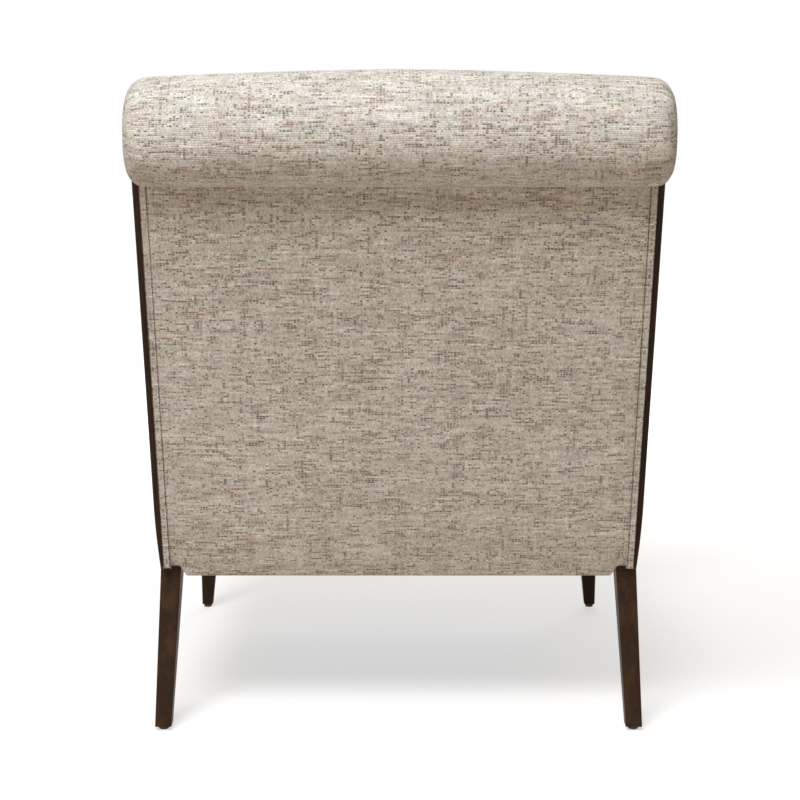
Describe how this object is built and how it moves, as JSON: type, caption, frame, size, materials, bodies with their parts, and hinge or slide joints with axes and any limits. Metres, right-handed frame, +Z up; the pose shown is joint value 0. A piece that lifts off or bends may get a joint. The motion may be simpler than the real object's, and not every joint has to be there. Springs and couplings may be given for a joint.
{
  "type": "upholstered armchair",
  "caption": "Show-wood armchair with a raked tweed back ending in a padded roll, open wooden arms, sprung seat with a loose cushion, tapered legs on glides.",
  "frame": {"origin": "on the floor under the middle of the chair's box", "axes": "+Z up, -Y the way the sitter faces, +X the sitter's left"},
  "size_m": [0.7, 0.9, 0.908],
  "materials": {
    "walnut_wood": "satin dark walnut stain",
    "frame_wood": "plain sawn beech",
    "dowel_wood": "plain beech",
    "screw_steel": "zinc plated",
    "spring_steel": "oiled black spring wire",
    "glide_plastic": "black, smooth",
    "webbing": "woven elastic webbing",
    "foam": "open-cell foam",
    "card": "stiff fibre card",
    "dust_cloth": "thin black cambric",
    "deck_cloth": "plain platform cloth",
    "tweed": "cream slub tweed"
  },
  "bodies": {
    "chair_frame": {"arm_dowels": "dowel_wood", "arm_left": "walnut_wood", "arm_right": "walnut_wood", "back_edge_border_left": "tweed", "back_edge_border_right": "tweed", "back_liner_left": "frame_wood", "back_liner_right": "frame_wood", "back_webbing_1": "webbing", "back_webbing_2": "webbing", "back_webbing_3": "webbing", "back_webbing_4": "webbing", "corner_block_screws": "screw_steel", "dust_cover": "dust_cloth", "front_border": "tweed", "front_corner_block_left": "frame_wood", "front_corner_block_right": "frame_wood", "front_glide_left": "glide_plastic", "front_glide_right": "glide_plastic", "front_leg_left": "walnut_wood", "front_leg_right": "walnut_wood", "front_rail": "frame_wood", "inside_back_cover": "tweed", "inside_back_foam": "foam", "lower_back_rail": "frame_wood", "outside_back_board": "card", "outside_back_panel": "tweed", "rail_dowels": "dowel_wood", "rear_corner_block_left": "frame_wood", "rear_corner_block_right": "frame_wood", "rear_glide_left": "glide_plastic", "rear_glide_right": "glide_plastic", "rear_post_left": "walnut_wood", "rear_post_right": "walnut_wood", "rear_rail": "frame_wood", "roll_core": "card", "roll_cover": "tweed", "roll_foam": "foam", "roll_former_left": "frame_wood", "roll_former_right": "frame_wood", "roll_former_screws": "screw_steel", "seat_deck": "deck_cloth", "seat_spring_1": "spring_steel", "seat_spring_2": "spring_steel", "seat_spring_3": "spring_steel", "seat_spring_4": "spring_steel", "seat_spring_5": "spring_steel", "side_border_left": "tweed", "side_border_right": "tweed", "side_rail_left": "frame_wood", "side_rail_right": "frame_wood", "spring_clips": "spring_steel", "top_back_rail": "frame_wood"},
    "seat_cushion": {"seat_cushion_cover": "tweed", "seat_cushion_core": "foam"}
  },
  "joints": [
    {"name": "cushion_lift", "type": "slide", "parent": "chair_frame", "child": "seat_cushion", "axis": [0, 0, 1], "range_m": [0, 0.3]}
  ]
}
